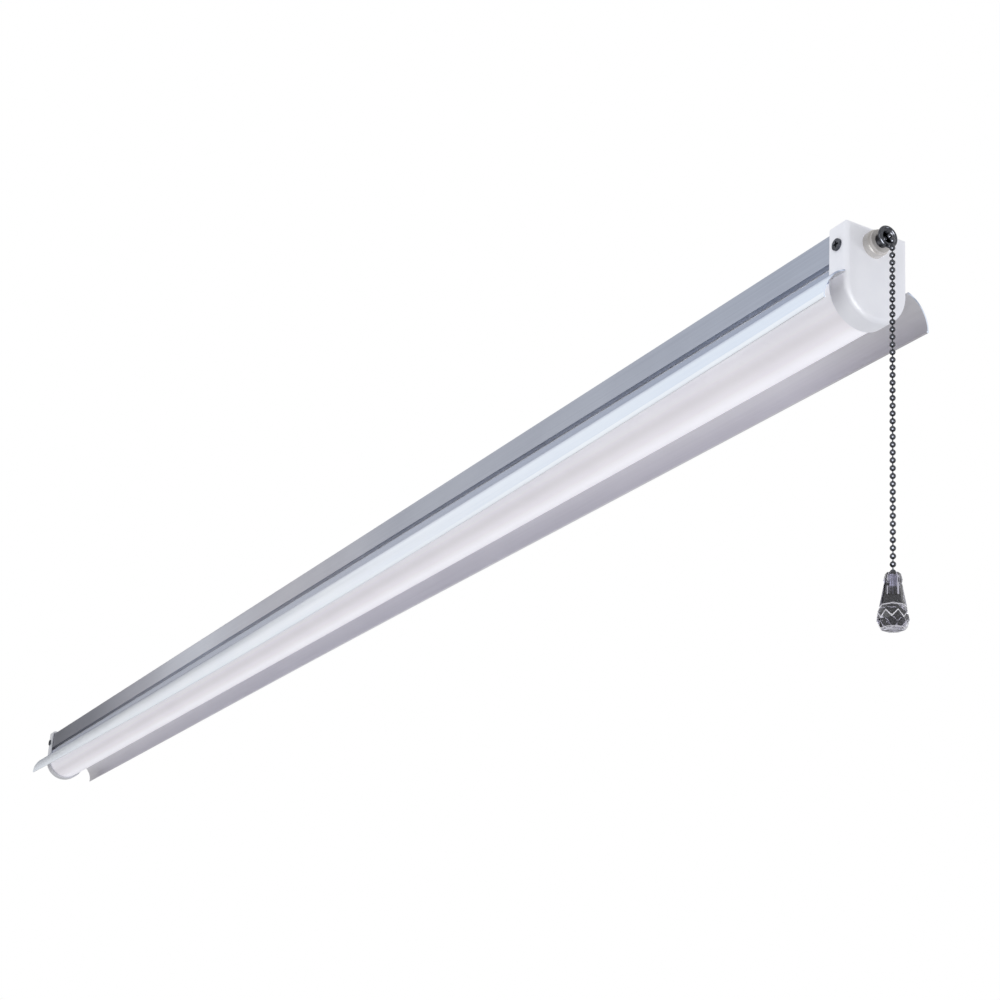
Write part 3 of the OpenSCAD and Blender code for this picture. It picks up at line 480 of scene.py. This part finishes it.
# A painted glow: the lens gives light of its own, strongest at its upper edge on the -Y side
glow = ramp(lens_tree, around, [
    (0, (0.32, 0.33, 0.35, 1)), (0.13, (0.25, 0.25, 0.2575, 1)), (0.27, (0.17, 0.17, 0.1751, 1)),
    (0.4, (0.22, 0.22, 0.2266, 1)), (1, (0.17, 0.17, 0.18, 1)),
], "EASE")
lens_tree.links.new(glow, lens_surface["Emission Color"])
lens_surface["Emission Strength"].default_value = 1
dress(frosted_lens, "diffuser")


# End caps: deep white mouldings that wrap the housing's ends and the lens, each held
# by a dark cross-head screw through either side.
shade_length = 0.04
white_cap = moulded("white_cap", "#f2f3f9", "#ecedf5", rough=0.5)
# Painted shade: the far cap is a little darker than the near one
shade(white_cap, "X", start=far_end, end=far_end + shade_length, stops=[(0, "#dbdbda"), (1, "#ffffff")])
dress(white_cap, "end_cap_near", "end_cap_far")
dark_screw = metal_finish("dark_screw", "#5d6068", "#34363c", smooth=0.25, rough=0.4, along=800, across=800)
dress(dark_screw, "cap_screws_near", "cap_screws_far")


# Driver: a folded steel case with its board, transformer, choke and capacitors,
# screwed to the tray inside the housing.
case_steel = metal_finish("case_steel", "#b7bac2", "#8f929a", smooth=0.3, rough=0.45, along=300, across=300)
dress(case_steel, "driver_case", "driver_lid")
dress(bright_screw, "driver_screws")
dress(moulded("circuit_board", "#2f7d46", "#246537", rough=0.35, clouds=400), "driver_board")
dress(moulded("coil_yellow", "#e2b93f", "#cfa22c", rough=0.45, clouds=300), "driver_transformer")
dress(moulded("can_blue", "#2f5f9f", "#244d86", rough=0.3, clouds=200), "driver_capacitors")
copper_wire = metal_finish(
    "copper_wire", "#d08a5a", "#a8633a", smooth=0.25, rough=0.4, along=1500, across=1500,
)
dress(copper_wire, "driver_choke")


# Supply: a nylon block with brass screws behind the cord's rubber grommet, and the
# sleeved leads from there to the driver, the switch and the light boards.
dress(moulded("block_nylon", "#efeee6", "#e2e0d4", rough=0.4), "terminal_block")
terminal_brass = metal_finish(
    "terminal_brass", "#cdb16a", "#a98c46", smooth=0.25, rough=0.4, along=700, across=700,
)
dress(terminal_brass, "terminal_screws")
dress(moulded("grommet_rubber", "#2b2b2d", "#1f1f21", rough=0.6), "cord_grommet")
dress(moulded("lead_black", "#2c2c2f", "#1e1e20", rough=0.4, clouds=300), "supply_leads")
dress(moulded("lead_dark_red", "#7f2323", "#681a1a", rough=0.4, clouds=300), "switch_leads")
dress(moulded("lead_red", "#c03636", "#a52b2b", rough=0.4, clouds=300), "led_leads")


# Pull switch: a bakelite body with a nylon drum, brass blades and a return spring.
# Its chrome nozzle passes the cap's end and is held by a white round nut.
dress(moulded("switch_bakelite", "#4a3a30", "#3a2c24", rough=0.35, clouds=300), "switch_base", "switch_cover")
collar_white = moulded("collar_white", "#d8d4d2", "#ccc8c6", rough=0.28)
# Painted shade: the collar darkens towards its -Y side
shade(collar_white, "Y", start=-0.01, end=0, stops=[(0, "#b4b4b3"), (0.5, "#ebebea"), (1, "#ffffff")])
dress(collar_white, "switch_collar")
steel_plain = metal_finish("steel_plain", "#b9bcc2", "#8d9097", smooth=0.25, rough=0.4, along=500, across=500)
dress(steel_plain, "drum_pin", "return_spring")
dress(moulded("drum_nylon", "#efece2", "#e3dfd2", rough=0.4), "pull_drum")
dress(moulded("rotor_resin", "#6d4a2c", "#593b22", rough=0.4), "contact_rotor")
contact_brass = metal_finish(
    "contact_brass", "#d0b56c", "#ab9048", smooth=0.25, rough=0.38, along=500, across=500,
)
dress(contact_brass, "contact_blades")
# Its dark colour is painted reflection: it stands in for the dark surroundings that chrome reflects
nozzle_chrome = metal_finish(
    "nozzle_chrome", "#55575c", "#3a3b40", smooth=0.08, rough=0.16, along=600, across=600, bump=0.04,
)
dress(nozzle_chrome, "switch_nozzle")


# Pull chain: hollow beads on dumb-bell links, all of one plated metal, running from
# the drum over the bell mouth and down to the knob.
# Its dark colour is painted reflection: it stands in for the dark surroundings that plated metal reflects
chain_metal = metal_finish(
    "chain_metal", "#505257", "#37383d", smooth=0.14, rough=0.22, along=900, across=900, bump=0.05,
)
dress(chain_metal, "drum_chain", "inner_chain", "bend_bead_inner", "bend_bead_outer", "top_bead")
dress(chain_metal, "swing_links", "chain_beads", "chain_links", "knob_link", "knob_hanger")


# Pull knob: a faceted drop of clear acrylic, with thin white bevels on some of its edges
# as painted glints. A metal cup in its top, held by a dark cross pin, takes the chain's last bead.
knob_low, knob_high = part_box("knob_body")
knob_place = ((knob_low.x + knob_high.x) / 2, (knob_low.y + knob_high.y) / 2, knob_high.z)
knob_height = knob_high.z - knob_low.z
knob_radius = (knob_high.x - knob_low.x) / 2
top_radius = 0.0031
facets = 8
# Each ring of corners: its share of the way down and out, and its turn in facets
ring_shares = (
    (0, 0, 0), (0.11, 0.2, 0), (0.17, 0.12, 0), (0.6, 0.68, 0),
    (0.72, 0.95, 0.5), (0.84, 1, 0), (0.93, 0.86, 0.5), (1, 0.55, 0.5),
)
# Edges with painted glints, by the rings of their two ends
glint_rings = ((3, 3), (4, 5), (7, 7))
glint_width = 0.00022
mouth_radius = 0.0016
mouth_depth = 0.001
cup_radius = 0.0022
cup_depth = 0.0084

clear_acrylic = bare_finish("clear_acrylic")
glass_tree = clear_acrylic.node_tree
glass = glass_tree.nodes["Principled BSDF"].inputs
glass["Transmission Weight"].default_value = 1
glass["IOR"].default_value = 1.49
# Its grey tint is painted: it stands in for the dark refractions of the clear acrylic; clouds vary it
glass_where = step(glass_tree, "TexCoord", {}).outputs["Object"]
glass_cloud = step(glass_tree, "TexNoise", {"Vector": glass_where, "Scale": 220}).outputs["Fac"]
painted_refraction_tone = ramp(glass_tree, glass_cloud, [(0, linear("#8f8e9c")), (1, linear("#c6c5d0"))])
glass_rough = spread(glass_tree, glass_cloud, start=0, end=1, low=0, high=0.06)
glass_tree.links.new(painted_refraction_tone, glass["Base Color"])
glass_tree.links.new(glass_rough, glass["Roughness"])
# White frosted bevels on the edges listed above: painted glints
glint_edge = moulded("glint_edge", "#f7f6fb", "#e6e4ee", rough=0.5, clouds=900)
glint_edge.node_tree.nodes["Principled BSDF"].inputs["Transmission Weight"].default_value = 0.35

knob = bmesh.new()
rings = []
for level, size, turn in ring_shares:
    radius = top_radius + size * (knob_radius - top_radius)
    angles = [2 * math.pi * (k + turn) / facets for k in range(facets)]
    down = -level * knob_height
    rings.append([knob.verts.new((radius * math.cos(a), radius * math.sin(a), down)) for a in angles])
for i in range(len(rings) - 1):
    upper, lower = rings[i], rings[i + 1]
    turned = ring_shares[i + 1][2] - ring_shares[i][2]
    for k in range(facets):
        a, b, c, d = upper[k], upper[(k + 1) % facets], lower[(k + 1) % facets], lower[k]
        if turned == 0:
            knob.faces.new((a, b, c, d))
        elif turned < 0:
            knob.faces.new((a, b, c))
            knob.faces.new((a, c, d))
        else:
            knob.faces.new((a, b, d))
            knob.faces.new((b, c, d))
knob.faces.new(rings[-1])
knob.faces.new(rings[0])
bmesh.ops.recalc_face_normals(knob, faces=knob.faces)
ring_of = {vert: i for i, ring in enumerate(rings) for vert in ring}
glint_edges = [edge for edge in knob.edges if tuple(sorted(ring_of[vert] for vert in edge.verts)) in glint_rings]
knob_finishes = [clear_acrylic, glint_edge]
bmesh.ops.bevel(
    knob, geom=glint_edges, offset=glint_width, segments=1, profile=0.5,
    material=knob_finishes.index(glint_edge), affect="EDGES",
)

knob_top = max(knob.faces, key=lambda face: (round(face.calc_center_median().z, 5), face.calc_area()))
rim = list(knob_top.edges)
mouth = bmesh.ops.create_circle(knob, segments=24, radius=mouth_radius)["verts"]
hole = list(dict.fromkeys(edge for vert in mouth for edge in vert.link_edges))
bmesh.ops.delete(knob, geom=[knob_top], context="FACES_ONLY")
bmesh.ops.bridge_loops(knob, edges=rim + hole)
for wider, deeper in ((1, mouth_depth), (cup_radius / mouth_radius, 0), (1, cup_depth)):
    grown = bmesh.ops.extrude_edge_only(knob, edges=hole)["geom"]
    verts = [v for v in grown if isinstance(v, bmesh.types.BMVert)]
    hole = [e for e in grown if isinstance(e, bmesh.types.BMEdge)]
    bmesh.ops.scale(knob, vec=(wider, wider, 1), verts=verts)
    bmesh.ops.translate(knob, vec=(0, 0, -deeper), verts=verts)
bmesh.ops.edgeloop_fill(knob, edges=hole)
bmesh.ops.translate(knob, vec=knob_place, verts=knob.verts)
settle(knob, "knob_stone", knob_finishes, "knob", ["knob_body"], smooth=False)

cup_metal = metal_finish("cup_metal", "#fbfaff", "#e6e5ec", smooth=0.3, rough=0.42, along=800, across=800)
# The cup is white above and near black over its lower part
shade(cup_metal, "Z", start=-0.1679, end=-0.159, stops=[
    (0, "#3c3b42"), (0.32, "#4a4950"), (0.42, "#ffffff"), (1, "#ffffff"),
])
dress(cup_metal, "knob_connector")
dark_metal = metal_finish("dark_metal", "#4a4c52", "#2c2d31", smooth=0.25, rough=0.4, along=800, across=800)
dress(dark_metal, "knob_pin")
